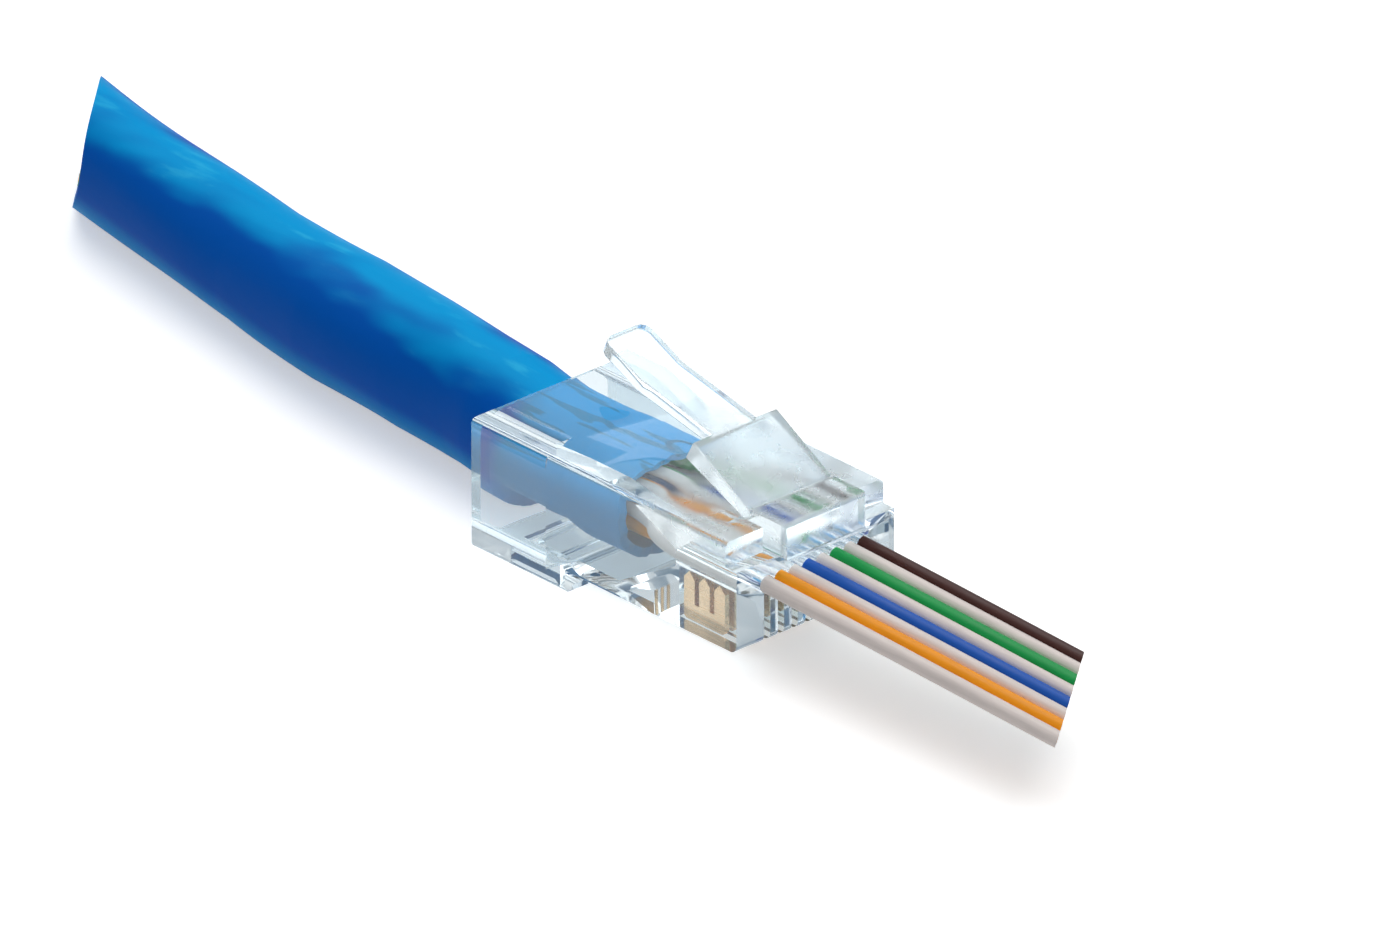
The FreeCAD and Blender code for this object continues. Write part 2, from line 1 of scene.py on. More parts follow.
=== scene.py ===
# %% [markdown]
# A pass-through modular plug on the end of a four-pair cable. The frame that is loaded here
# holds the exact solids of the plug, in metres, with the nose towards +X and the latch
# uppermost. The cells below light it, give every piece its finish, and replace the pieces
# whose real surface is not a plain solid: the two clear mouldings with their softened
# edges, the cable's jacket and its eight conductors.

# %% Load the frame
import math

import bmesh
import bpy
import numpy as np
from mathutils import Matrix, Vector


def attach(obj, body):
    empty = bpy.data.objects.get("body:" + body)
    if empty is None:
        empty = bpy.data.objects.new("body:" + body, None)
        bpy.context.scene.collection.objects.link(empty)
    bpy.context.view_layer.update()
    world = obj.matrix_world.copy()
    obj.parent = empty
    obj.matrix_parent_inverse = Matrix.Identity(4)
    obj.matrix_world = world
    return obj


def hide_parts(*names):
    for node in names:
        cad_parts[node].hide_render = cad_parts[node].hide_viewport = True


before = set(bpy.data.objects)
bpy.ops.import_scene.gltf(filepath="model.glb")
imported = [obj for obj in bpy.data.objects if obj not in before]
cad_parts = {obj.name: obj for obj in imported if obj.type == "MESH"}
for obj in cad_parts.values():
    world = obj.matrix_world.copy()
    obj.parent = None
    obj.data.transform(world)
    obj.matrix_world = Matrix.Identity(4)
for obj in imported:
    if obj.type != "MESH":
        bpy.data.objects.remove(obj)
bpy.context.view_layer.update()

print("CAD nodes:", len(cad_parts))

# %% [markdown]
# Everything on a plug is a few millimetres across, and Blender works in metres. Scaling the
# finished objects would move the patterns on them, so sizes are written in millimetres here
# and turned into metres as they are used.

# %% Millimetres
MM = 0.001


def mm(points):
    """Points given in millimetres, as an array in metres."""
    return np.array(points, float) * MM


# %% [markdown]
# A product picture of something this small is taken from far away through a long lens, so
# that parallel edges stay nearly parallel. An orthographic camera would lose the last trace
# of depth, so this is a perspective camera 2.2 m away. It looks down over the nose's near
# corner, and its back vector is the direction from the object to the camera.

# %% Camera
AZIMUTH, ELEVATION = math.radians(47.54), math.radians(26.51)
LOOKED_AT = Vector((0.7, 0.0, 7.5)) * MM
DISTANCE = 2.2
VIEW_WIDTH = 76.07 * MM
SENSOR_WIDTH = 36


def linked(obj):
    """The object, put into the scene."""
    bpy.context.scene.collection.objects.link(obj)
    return obj


def turned(obj, direction):
    """Turn a camera or a lamp to look in a direction, upright."""
    obj.rotation_mode = "QUATERNION"
    obj.rotation_quaternion = direction.to_track_quat("-Z", "Y")


back = Vector((
    math.sin(AZIMUTH) * math.cos(ELEVATION),
    -math.cos(AZIMUTH) * math.cos(ELEVATION),
    math.sin(ELEVATION),
))
camera_data = bpy.data.cameras.new("Camera")
camera_data.sensor_width = SENSOR_WIDTH
camera_data.lens = SENSOR_WIDTH * DISTANCE / VIEW_WIDTH
camera_data.clip_start, camera_data.clip_end = 0.5, 20
camera = linked(bpy.data.objects.new("Camera", camera_data))
camera.location = LOOKED_AT + back * DISTANCE
turned(camera, -back)
bpy.context.scene.camera = camera
bpy.context.scene.view_settings.view_transform = "Standard"
print(f"camera: {camera_data.lens:.0f} mm lens, {DISTANCE} m away")

# %% [markdown]
# Every finish below is a small graph of shader nodes. Wiring one by hand takes a line for
# each socket, so a few helpers do it. They take numbers, colours and other nodes' outputs
# alike, and those that work something out hand back its output for the next.


# %% Node helpers
def give(socket, value):
    """Set a socket to a number or a colour, or link it to another node's output."""
    if isinstance(value, bpy.types.NodeSocket):
        socket.id_data.links.new(value, socket)
    elif socket.type == "RGBA":
        socket.default_value = (*value, 1)
    else:
        socket.default_value = value


def feed(node, values):
    """Give several of a node's inputs their values, by name."""
    for name, value in values.items():
        give(node.inputs[name], value)


def added(tree, kind, **settings):
    """A new shader node with some of its settings made."""
    node = tree.nodes.new(kind)
    for name, value in settings.items():
        setattr(node, name, value)
    return node


def computed(tree, operation, *values):
    """The result of one step of arithmetic."""
    node = added(tree, "ShaderNodeMath", operation=operation)
    for socket, value in zip(node.inputs, values):
        give(socket, value)
    return node.outputs[0]


def ranged(tree, source, low, high, to_low=0.0, to_high=1.0, shape="SMOOTHSTEP"):
    """A number moved from one range to another, and kept inside it."""
    node = added(tree, "ShaderNodeMapRange", interpolation_type=shape)
    feed(node, {
        "Value": source, "From Min": low, "From Max": high, "To Min": to_low, "To Max": to_high
    })
    return node.outputs["Result"]


def mixed(tree, factor, first, second):
    """A colour that goes from the first to the second as the factor rises."""
    node = added(tree, "ShaderNodeMix", data_type="RGBA")
    feed(node, {"Factor": factor, "A": first, "B": second})
    return node.outputs["Result"]


def seen_directly(tree):
    """1 on rays from the camera, off a mirror or through glass, and 0 on all others."""
    path = added(tree, "ShaderNodeLightPath")
    total = path.outputs["Is Camera Ray"]
    for kind in ("Is Glossy Ray", "Is Transmission Ray"):
        total = computed(tree, "MAXIMUM", total, path.outputs[kind])
    return total


helpers = (give, feed, added, computed, ranged, mixed, seen_directly)
print("node helpers:", ", ".join(helper.__name__ for helper in helpers))

# %% [markdown]
# Clear plastic has no colour of its own: it shows its surroundings, bent at every face.
# In a studio it stands in a bright field with something darker at the sides, because the
# slanting edges mirror the sides and draw the outline. Cards round the plug could do
# that, but they would stand in the way of other views, so the world does it: white towards
# the top and the bottom, and darker and bluer towards the horizon. The camera itself sees
# plain white. Light that only falls on things is dimmer, which leaves the shading to the
# lamps.

# %% World
HORIZON, ZENITH = (0.12, 0.20, 0.27), (1, 1, 1)
WHITE_FROM = 0.85
FALLING_LIGHT = 0.25

world = bpy.data.worlds.new("Bright field")
bpy.context.scene.world = world
world.use_nodes = True
tree = world.node_tree
direction = added(tree, "ShaderNodeSeparateXYZ")
give(direction.inputs[0], added(tree, "ShaderNodeTexCoord").outputs["Generated"])
field = added(tree, "ShaderNodeValToRGB")
field.color_ramp.interpolation = "EASE"
stops = ((0.0, HORIZON), (WHITE_FROM, ZENITH))
for stop, (position, colour) in zip(field.color_ramp.elements, stops):
    stop.position, stop.color = position, (*colour, 1)
feed(field, {"Fac": computed(tree, "ABSOLUTE", direction.outputs["Z"])})
camera_ray = added(tree, "ShaderNodeLightPath").outputs["Is Camera Ray"]
feed(tree.nodes["Background"], {
    "Color": mixed(tree, camera_ray, field.outputs["Color"], ZENITH),
    "Strength": ranged(tree, seen_directly(tree), 0, 1, FALLING_LIGHT, 1.0, "LINEAR"),
})
print("world:", len(tree.nodes), "nodes")

# %% [markdown]
# A studio lights small glossy things with very large soft boxes. A sun or a point lamp would
# leave hard shadows and pinprick highlights, so both lamps are areas: a wide one overhead
# carries the light, and a small weak one lifts the nose and the near side.

# %% Lamps
LAMPS = [
    # name, place, size, watts, in millimetres around the plug
    ("overhead", (-200, 260, 850), 1200, 8.0),
    ("front", (420, -300, 220), 260, 0.3),
]
for name, place, size, watts in LAMPS:
    lamp = bpy.data.lights.new(name, "AREA")
    lamp.size = size * MM
    lamp.energy = watts
    holder = linked(bpy.data.objects.new(name, lamp))
    holder.location = mm(place)
    turned(holder, LOOKED_AT - holder.location)
print("lamps:", [name for name, *_ in LAMPS])

# %% [markdown]
# The plug lies on a sheet of pale paper, one large square. Lamps that make the paper white
# by themselves would burn out the pale plastic as well, so the paper also glows for rays
# that see it directly. The glow is kept low, because it lightens the shadow too.

# %% Floor
REACH = 3.0
BELOW_THE_PLUG = 0.02 * MM
GLOW = 0.5


def new_material(name):
    """A material with nodes, and its Principled shader."""
    material = bpy.data.materials.new(name)
    material.use_nodes = True
    return material, material.node_tree.nodes["Principled BSDF"]


paper, shader = new_material("pale_paper")
feed(shader, {
    "Base Color": (0.9, 0.9, 0.9),
    "Roughness": 1.0,
    "Specular IOR Level": 0.0,
    "Emission Color": (1, 1, 1),
    "Emission Strength": computed(
        paper.node_tree, "MULTIPLY", seen_directly(paper.node_tree), GLOW
    ),
})
floor_mesh = bpy.data.meshes.new("Floor")
corners = [(-REACH, -REACH, 0), (REACH, -REACH, 0), (REACH, REACH, 0), (-REACH, REACH, 0)]
floor_mesh.from_pydata(corners, [], [(0, 1, 2, 3)])
floor_mesh.materials.append(paper)
floor = linked(bpy.data.objects.new("Floor", floor_mesh))
floor.location.z = -BELOW_THE_PLUG
print(f"floor: {2 * REACH:.0f} m square")

# %% [markdown]
# The housing and the latch are one clear polycarbonate moulding, polished except where the
# mould is textured: the top of the nose and the latch plate have a satin finish. Two
# materials would show a line between them, so one material turns satin with the place.
# Real light gets through clear plastic to what is inside it, but a path tracer counts glass
# as a shadow caster, so shadow rays meet a faintly tinted transparent shader instead.

# %% Clear plastic
POLYCARBONATE_INDEX = 1.58
SATIN_X = (0.0 * MM, 4.0 * MM)
SATIN_Z = (6.2 * MM, 7.6 * MM)
SATIN_GRAIN = (700, 700, 700)
SHADOW_TINT = (0.93, 0.96, 0.98)


def cloud(tree, scale, detail):
    """Noise in the object's own coordinates, whose scale is in features to the metre."""
    stretch = added(tree, "ShaderNodeMapping")
    place = added(tree, "ShaderNodeTexCoord").outputs["Object"]
    feed(stretch, {"Vector": place, "Scale": scale})
    noise = added(tree, "ShaderNodeTexNoise")
    feed(noise, {"Vector": stretch.outputs[0], "Scale": 1.0, "Detail": detail})
    return noise.outputs["Fac"]


def satin_part(tree):
    """Forward share x upward share x noise: 0 on the polished faces."""
    split = added(tree, "ShaderNodeSeparateXYZ")
    give(split.inputs[0], added(tree, "ShaderNodeTexCoord").outputs["Object"])
    forward = ranged(tree, split.outputs["X"], *SATIN_X)
    upward = ranged(tree, split.outputs["Z"], *SATIN_Z)
    corner = computed(tree, "MULTIPLY", forward, upward)
    return computed(tree, "MULTIPLY", corner, cloud(tree, SATIN_GRAIN, 3.0))


def clear_plastic(name, tint, polished, satin):
    """A clear material from its tint and its roughness in the two kinds of place."""
    material, shader = new_material(name)
    tree = material.node_tree
    feed(shader, {
        "Base Color": tint,
        "Roughness": ranged(tree, satin_part(tree), 0.0, 0.6, polished, satin),
        "IOR": POLYCARBONATE_INDEX,
        "Transmission Weight": 1.0,
        "Specular IOR Level": 0.3,
    })
    open_way = added(tree, "ShaderNodeBsdfTransparent")
    feed(open_way, {"Color": SHADOW_TINT})
    shadow_ray = added(tree, "ShaderNodeLightPath").outputs["Is Shadow Ray"]
    choice = added(tree, "ShaderNodeMixShader")
    for socket, value in zip(
        choice.inputs, (shadow_ray, shader.outputs[0], open_way.outputs[0])
    ):
        give(socket, value)
    feed(tree.nodes["Material Output"], {"Surface": choice.outputs[0]})
    return material


polycarbonate = clear_plastic("clear_polycarbonate", (0.79, 0.865, 0.89), 0.03, 0.30)
print("clear plastic:", len(polycarbonate.node_tree.nodes), "nodes")

# %% [markdown]
# Light bends at every wall that it crosses, and a plug is full of walls. A ray that runs out
# of steps comes back black, so the limits are well above Blender's own.

# %% Light paths
STEPS = 32
cycles = bpy.context.scene.cycles
cycles.max_bounces = STEPS
cycles.transmission_bounces = STEPS
cycles.glossy_bounces = STEPS
cycles.transparent_max_bounces = STEPS
print("steps for a ray of light:", STEPS)

# %% [markdown]
# A mould has no perfectly sharp corner, and the narrow round edge is what catches the light.
# Rounding the exact solids would cost them many faces, so each clear piece is a copy whose
# loose triangles are merged back into whole faces, with a narrow bevel on the sharp edges.

# %% Softened copies
SAME_POINT = 0.0005 * MM
SAME_PLANE = math.radians(1)
CORNER = math.radians(30)
EDGE_WIDTH = 0.07 * MM


def softened(node, width):
    """A copy of a solid, merged into whole faces, with a rounded edge of this width."""
    shape = bmesh.new()
    shape.from_mesh(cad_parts[node].data)
    bmesh.ops.remove_doubles(shape, verts=shape.verts, dist=SAME_POINT)
    bmesh.ops.dissolve_limit(
        shape, angle_limit=SAME_PLANE, verts=shape.verts, edges=shape.edges
    )
    mesh = bpy.data.meshes.new(f"{node}_moulded")
    shape.to_mesh(mesh)
    shape.free()
    piece = linked(bpy.data.objects.new(mesh.name, mesh))
    bevel = piece.modifiers.new("Soft edges", "BEVEL")
    bevel.width = width
    bevel.segments = 2
    bevel.limit_method = "ANGLE"
    bevel.angle_limit = CORNER
    mesh.polygons.foreach_set("use_smooth", np.ones(len(mesh.polygons), bool))
    mesh.set_sharp_from_angle(angle=CORNER)
    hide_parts(node)
    return piece


for solid, body in (("plug_housing", "plug"), ("latch_lever", "latch")):
    piece = softened(solid, EDGE_WIDTH)
    piece.data.materials.append(polycarbonate)
    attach(piece, body)
    print(piece.name, len(piece.data.polygons), "faces before the bevel")

# %% [markdown]
# Blades are cut from rolled strip, and wire and its insulation are pulled through a die, so
# all of them carry fine lines along their length. Three finishes need those lines, so they
# are a node group: made once, and placed in each material with its own colour and gloss.

# %% Drawn grain
LINES = (300, 5000, 5000)
GRAIN_CONTRAST = (0.35, 0.65)
DARKENED = 0.08


def new_group(name, takes, gives):
    """An empty node group with the nodes for its inputs and its outputs.

    takes and gives name each socket, with its kind: Color or Float.
    """
    group = bpy.data.node_groups.new(name, "ShaderNodeTree")
    for sockets, way in ((takes, "INPUT"), (gives, "OUTPUT")):
        for socket, kind in sockets.items():
            group.interface.new_socket(socket, in_out=way, socket_type=f"NodeSocket{kind}")
    return group, added(group, "NodeGroupInput"), added(group, "NodeGroupOutput")


def drawn_grain():
    """A group whose noise is drawn out along X: about 3 mm long and 0.2 mm wide.

    As the noise rises, the colour goes from 8% darker to the colour itself, and the
    roughness from the smooth value to the rough one.
    """
    group, given, result = new_group(
        "Drawn grain",
        {"Colour": "Color", "Smooth": "Float", "Rough": "Float"},
        {"Colour": "Color", "Roughness": "Float", "Height": "Float"},
    )
    lines = cloud(group, LINES, 3.0)
    darker = ranged(group, lines, *GRAIN_CONTRAST, DARKENED, 0.0)
    smooth, rough = given.outputs["Smooth"], given.outputs["Rough"]
    feed(result, {
        "Colour": mixed(group, darker, given.outputs["Colour"], (0.0, 0.0, 0.0)),
        "Roughness": ranged(group, lines, *GRAIN_CONTRAST, smooth, rough, "LINEAR"),
        "Height": lines,
    })
    return group


GRAIN = drawn_grain()
print("drawn grain:", len(GRAIN.nodes), "nodes")

# %% [markdown]
# The blades are stamped copper alloy with a hard gold plating: a metal with a soft polish.
# Their exact solids have the right edges already, so they only change their material, which
# is the drawn grain on a plain metal.

# %% Contacts
LINE_STRENGTH, LINE_DEPTH = 0.3, 0.01 * MM


def bumped(tree, height, strength, depth):
    """A normal that makes a pattern look raised, by a depth in metres."""
    node = added(tree, "ShaderNodeBump")
    feed(node, {"Height": height, "Strength": strength, "Distance": depth})
    return node.outputs[0]


def grained(tree, shader, colour, smooth, rough):
    """Give a shader the drawn grain over a colour."""
    grain = added(tree, "ShaderNodeGroup", node_tree=GRAIN)
    feed(grain, {"Colour": colour, "Smooth": smooth, "Rough": rough})
    feed(shader, {
        "Base Color": grain.outputs["Colour"],
        "Roughness": grain.outputs["Roughness"],
        "Normal": bumped(tree, grain.outputs["Height"], LINE_STRENGTH, LINE_DEPTH),
    })


def metal(name, colour, smooth, rough):
    """A drawn or rolled metal."""
    material, shader = new_material(name)
    grained(material.node_tree, shader, colour, smooth, rough)
    feed(shader, {"Metallic": 1.0})
    return material


gold = metal("gold_contact", (0.98, 0.635, 0.375), 0.19, 0.29)
contacts = [part for name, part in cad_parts.items() if name.startswith("contact_")]
for part in contacts:
    part.data.materials.clear()
    part.data.materials.append(gold)
print("gold contacts:", len(contacts))

# %% [markdown]
# The cable and its conductors are round, bent along a route, and cut off on a slant. A bevel
# on a curve would give a plain pipe with a square end, so each is a surface of two
# parameters instead: the distance along its route, and the angle round it. The route itself
# is a smooth spline that a few given points pull into shape.


# %% Routes
def route(points):
    """Closely spaced points of the quadratic spline that these control points shape."""
    curve = bpy.data.curves.new("Route", "CURVE")
    curve.dimensions = "3D"
    spline = curve.splines.new("NURBS")
    spline.points.add(len(points) - 1)
    homogeneous = np.column_stack([points, np.ones(len(points))])
    spline.points.foreach_set("co", homogeneous.ravel())
    spline.order_u = 3
    spline.use_endpoint_u = True
    spline.resolution_u = 32
    holder = bpy.data.objects.new("Route", curve)
    line = bpy.data.meshes.new_from_object(holder)
    path = np.empty(len(line.vertices) * 3)
    line.vertices.foreach_get("co", path)
    bpy.data.objects.remove(holder)
    bpy.data.meshes.remove(line)
    return path.reshape(-1, 3)


def lengths_along(path):
    """Distance of each point of a path from its start: the running sum of its steps."""
    return np.concatenate([[0], np.cumsum(np.linalg.norm(np.diff(path, axis=0), axis=1))])


cable_route = route(mm([
    (-0.15, 0.0, 4.7),
    (-3.3, 0.0, 4.7),
    (-6.0, 0.5, 3.975),
    (-12.0, 0.5, 3.975),
    (-20.0, 1.8, 3.95),
    (-33.0, 3.0, 3.85),
    (-46.0, 5.05, 3.7),
    (-57.65, 7.331, 3.644),
]))
cable_length = lengths_along(cable_route)[-1]
print(f"cable: {cable_length / MM:.1f} mm long, {len(cable_route)} points")

# %% [markdown]
# To carry an outline along a route, each point of the route needs one direction to the side
# and one upwards, both square to the way it runs. Turning them from point to point can end
# in a twist, so the side is kept level instead. That works because no route here stands
# upright.


# %% Surfaces round a route
def unit(vectors):
    """Each vector divided by its own length."""
    return vectors / np.linalg.norm(vectors, axis=-1, keepdims=True)


def spoke(way, angle):
    """The direction at an angle round a line: cos(angle) x side + sin(angle) x up.

    side is level and square to the way, and up is square to both.
    """
    side = unit(np.cross(way, (0, 0, 1)))
    up = np.cross(side, way)
    return np.cos(angle)[..., None] * side + np.sin(angle)[..., None] * up


def read_at(along, arc, rows):
    """Rows that belong to the distances arc, read at other distances between them."""
    return np.stack([np.interp(along, arc, column) for column in rows.T], axis=-1)


def carried(path, along, angle, radius):
    """Points round a path: path(along) + radius x the spoke at this angle.

    The path runs straight on past its end. The radius is one number, or an array with the
    shape of the others.
    """
    arc = lengths_along(path)
    tangents = unit(np.gradient(path, arc, axis=0))
    longer = np.vstack([path, path[-1] + tangents[-1]])
    tangents = np.vstack([tangents, tangents[-1]])
    arc = np.append(arc, arc[-1] + 1)
    way = unit(read_at(along, arc, tangents))
    return read_at(along, arc, longer) + np.asarray(radius)[..., None] * spoke(way, angle)


level_way, quarter_turn = np.array([1.0, 0.0, 0.0]), np.array(math.pi / 2)
print("a quarter turn round a level line:", spoke(level_way, quarter_turn).round(2))

# %% [markdown]
# Both cuts are flat and slanting. Cutting a finished mesh with a Boolean would leave uneven
# faces at the rim, so the rows of the grid are stretched instead: each line along the piece
# is given just the length at which it meets the plane.


# %% Cuts
def plane(point, yaw, lean):
    """A point of a cutting plane in metres, and its normal from two angles in degrees."""
    yaw, lean = math.radians(yaw), math.radians(lean)
    normal = (math.cos(lean) * math.cos(yaw), math.cos(lean) * math.sin(yaw), math.sin(lean))
    return mm(point), np.array(normal)


def end_at(path, cut, angle, radius):
    """How far along the path each angle's line meets the plane.

    The last stretch is straight, so the distance is the path's length plus the gap to the
    plane measured along the normal, divided by the way's own part along the normal.
    """
    point, normal = cut
    way = unit(path[-1] - path[-2])
    rim_points = path[-1] + np.asarray(radius)[..., None] * spoke(way, angle)
    return lengths_along(path)[-1] + (point - rim_points) @ normal / (way @ normal)


SNIP = plane((30.95, 0.0, 4.95), 39.3, -16.7)
TAIL = plane((-57.65, 7.331, 3.644), 222.4, 10.7)
print("normals of the cuts:", SNIP[1].round(2), TAIL[1].round(2))

# %% [markdown]
# A grid of points becomes a mesh by joining each point to its neighbours. The same helper
# closes a pipe's wall, the jacket's, and caps a solid rod, a conductor's.

# %% Meshes from grids
SHARP = math.radians(40)


def surface(name, grid, close_rows=False, caps=False):
    """A mesh from a grid of points (rows, round, 3) that closes round.

    Neighbouring rows are joined by quads. close_rows joins the last row to the first, as
    on a pipe's wall; caps closes both ends with one flat face each.
    """
    rows, around = grid.shape[:2]
    index = np.arange(rows * around).reshape(rows, around)
    low = index if close_rows else index[:-1]
    high = np.roll(index, -1, axis=0)[: len(low)]
    quads = np.stack(
        [low, np.roll(low, -1, axis=1), np.roll(high, -1, axis=1), high], axis=-1
    ).reshape(-1, 4)
    faces = quads.tolist()
    if caps:
        faces += [index[0][::-1].tolist(), index[-1].tolist()]
    mesh = bpy.data.meshes.new(name)
    mesh.from_pydata(grid.reshape(-1, 3).tolist(), [], faces)
    mesh.validate()
    mesh.polygons.foreach_set("use_smooth", np.ones(len(mesh.polygons), bool))
    mesh.set_sharp_from_angle(angle=SHARP)
    return mesh


def attribute(mesh, name, values):
    """Store one number per vertex, for a material to read."""
    mesh.attributes.new(name, "FLOAT", "POINT").data.foreach_set(
        "value", np.asarray(values, np.float32).ravel()
    )


def stored(tree, name):
    """The number that a mesh stores under this name."""
    return added(tree, "ShaderNodeAttribute", attribute_name=name).outputs["Fac"]


def round_turn(count):
    """Angles of this many points spaced evenly round a circle."""
    return np.linspace(0, 2 * math.pi, count, endpoint=False)


print("four points round a circle:", round_turn(4).round(2))

# %% [markdown]
# The jacket is a soft sleeve round four twisted pairs. In the plug's throat it is squeezed
# to a flat oval, in the entry the strain relief presses its lower half up, and outside it
# swells again and the pairs press through in slow waves. Sculpting would do for one such
# cable; a radius worked out from the distance and the angle can be corrected by a number.

# %% Jacket sizes
CABLE = 7.1 * MM
REAR_RIM = 11.15 * MM
# The oval in the throat, where it ends, and the length in which it opens to the cable.
NECK_WIDTH, NECK_HEIGHT = 7.6 * MM, 5.5 * MM
NECK_END, NECK_OPENS = 3.15 * MM, 2.7 * MM
# The share of the lower half that is pressed up, and the length in which it is let go.
PRESSED, RELEASED = 0.43, 0.9 * MM
# The swelling: how high, where it starts past the rim, how it grows, ends and fades.
SWELL, SWELL_START, SWELL_GROWS = 0.38 * MM, 0.1 * MM, 4 * MM
SWELL_END, SWELL_FADES = 39 * MM, 8 * MM
# Near the plug it is less by this share at the sides, and by twice that underneath.
FLAT_BELOW, FLAT_END, FLAT_FADES = 0.45, 23 * MM, 6 * MM
# The waves: the length of one turn, their heights, and how far they sink the surface.
LAY, WAVES_GROW = 31 * MM, 8 * MM
TWO_WAVES, THREE_WAVES, SUNK = 0.07 * MM, 0.05 * MM, 0.1 * MM

# How far along the cable's route the rear rim of the housing is.
rim = np.interp(REAR_RIM, -cable_route[:, 0], lengths_along(cable_route))
print(f"rear rim: {rim / MM:.2f} mm along the cable")

# %% [markdown]
# The outline is the sum of three parts, so that each can be changed alone: the oval that
# the plug squeezes it to, the swelling where it is free again, and the waves of the pairs.
# Two ramps along the cable, one up and one down, bring them in and let them go.


# %% Jacket outline
def rising(along, start, length):
    """0 before the start, and 1 from one length after it."""
    return np.clip((along - start) / length, 0, 1)


def falling(along, end, length):
    """1 until one length before the end, and 0 from the end on."""
    return np.clip((end - along) / length, 0, 1)


def squeezed_oval(along, angle):
    """The oval of the throat, which opens to the round cable.

    Radius = wide x tall / sqrt((tall cos(angle))^2 + (wide sin(angle))^2), where half the
    width and half the height go from the neck's to the cable's as s^2 (3 - 2 s). Past the
    neck and up to the rim the lower half is less tall by the share that is pressed up.
    """
    share = rising(along, NECK_END, NECK_OPENS)
    share = share * share * (3 - 2 * share)
    wide = (NECK_WIDTH + (CABLE - NECK_WIDTH) * share) / 2
    tall = (NECK_HEIGHT + (CABLE - NECK_HEIGHT) * share) / 2
    pressed = PRESSED * share * falling(along, rim + RELEASED, RELEASED)
    tall = np.where(np.sin(angle) < 0, tall * (1 - pressed), tall)
    return wide * tall / np.hypot(tall * np.cos(angle), wide * np.sin(angle))


def swelling(along, angle):
    """How much thicker the cable is once it is free, less so on its underside at first.

    Swell x share grown x share not yet faded x (1 - flatness (1 - sin(angle))).
    """
    swell = SWELL * rising(along, rim + SWELL_START, SWELL_GROWS)
    swell = swell * falling(along, SWELL_END, SWELL_FADES)
    flatness = FLAT_BELOW * falling(along, FLAT_END, FLAT_FADES)
    return swell * (1 - flatness * (1 - np.sin(angle)))


def pair_waves(along, angle):
    """Two waves that wind round the cable, two crests to a turn and three to a turn.

    Height = two_waves cos(2 angle - t) + three_waves cos(3 angle + 1.7 t + 1) - sunk, where
    t is one full turn for each lay. It grows from the rim on.
    """
    turns = 2 * math.pi * along / LAY
    height = TWO_WAVES * np.cos(2 * angle - turns)
    height = height + THREE_WAVES * np.cos(3 * angle + 1.7 * turns + 1.0)
    return (height - SUNK) * rising(along, rim, WAVES_GROW)


def jacket_radius(along, angle):
    """Squeezed oval + swelling + waves of the pairs."""
    return squeezed_oval(along, angle) + swelling(along, angle) + pair_waves(along, angle)


print(f"radius at the far cut: {jacket_radius(cable_length, np.zeros(1))[0] / MM:.2f} mm")

# %% [markdown]
# Inside the plug the sleeve's end is torn rather than cut: its edge is uneven, and by the
# latch a lip of it curls over. The uneven edge is modelled. The lip is seen only through
# the clear roof, where a shape as thin as it hardly shows, so it is a dark ring in the
# material: the lip's edge with a painted shadow under it.

# %% Torn end
TORN_WAVES = [
    # depth in millimetres, number of waves round the end, phase
    (0.22, 3, 0.7),
    (0.13, 7, 2.0),
    (0.07, 19, 0.0),
]
LIP_ANGLE = 1.33
LIP_CENTRE, LIP_RADIUS, LIP_WIDTH, LIP_START = 0.9 * MM, 0.85 * MM, 0.2 * MM, 0.8 * MM


def torn_end(angle):
    """How far the end stands back: the sum of depth x (1 + sin(number x angle + phase))."""
    return MM * sum(
        depth * (1 + np.sin(number * angle + phase)) for depth, number, phase in TORN_WAVES
    )


def lip_painted_shadow(along, angle):
    """The lip's mark, a painted shadow of the curl: half a ring, open towards the jacket's
    end.

    Its strength is exp(-(d / width)^2), where d is the distance from a circle on the
    surface; across the cable, the angle becomes a length by the cable's radius.
    """
    across = (angle - LIP_ANGLE) * CABLE / 2
    from_circle = np.hypot(across, along - LIP_CENTRE) - LIP_RADIUS
    return np.exp(-((from_circle / LIP_WIDTH) ** 2)) * (along > LIP_START)


depths = torn_end(round_turn(360))
print(f"torn end: {depths.min() / MM:.2f} mm to {depths.max() / MM:.2f} mm back")

# %% [markdown]
# The sleeve has a wall, which shows at the far cut. Solidify would add one, but its end
# would not lie flat in the slanting cut, so the inner wall is a second surface, one wall's
# thickness further in, and the two are joined to one closed pipe.

# %% Jacket
WALL = 0.6 * MM
JACKET_AROUND, OUTER_ROWS, INNER_ROWS = 128, 420, 120
JUST_ABOVE_FLOOR = 0.01 * MM
IN_PLUG_END, IN_PLUG_FADES = 1.0 * MM, 1.2 * MM


def jacket():
    """Outer wall from the plug to the far cut and the inner wall back, as one closed pipe.

    Also the distance along the route and the angle round it of each of its points.
    """
    turn = round_turn(JACKET_AROUND)
    near = torn_end(turn)
    grids, places = [], []
    for rows, depth in ((OUTER_ROWS, 0.0), (INNER_ROWS, WALL)):
        edge = jacket_radius(cable_length, turn) - depth
        far = end_at(cable_route, TAIL, turn, edge)
        share = np.linspace(0, 1, rows)[:, None]
        along = near + share * (far - near)
        angle = np.broadcast_to(turn, along.shape)
        grids.append(carried(cable_route, along, angle, jacket_radius(along, angle) - depth))
        places.append(np.stack([along, angle]))
    grid = np.concatenate([grids[0], grids[1][::-1]])
    grid[..., 2] = np.maximum(grid[..., 2], JUST_ABOVE_FLOOR)
    along, angle = np.concatenate([places[0], places[1][:, ::-1]], axis=1)
    return grid, along, angle


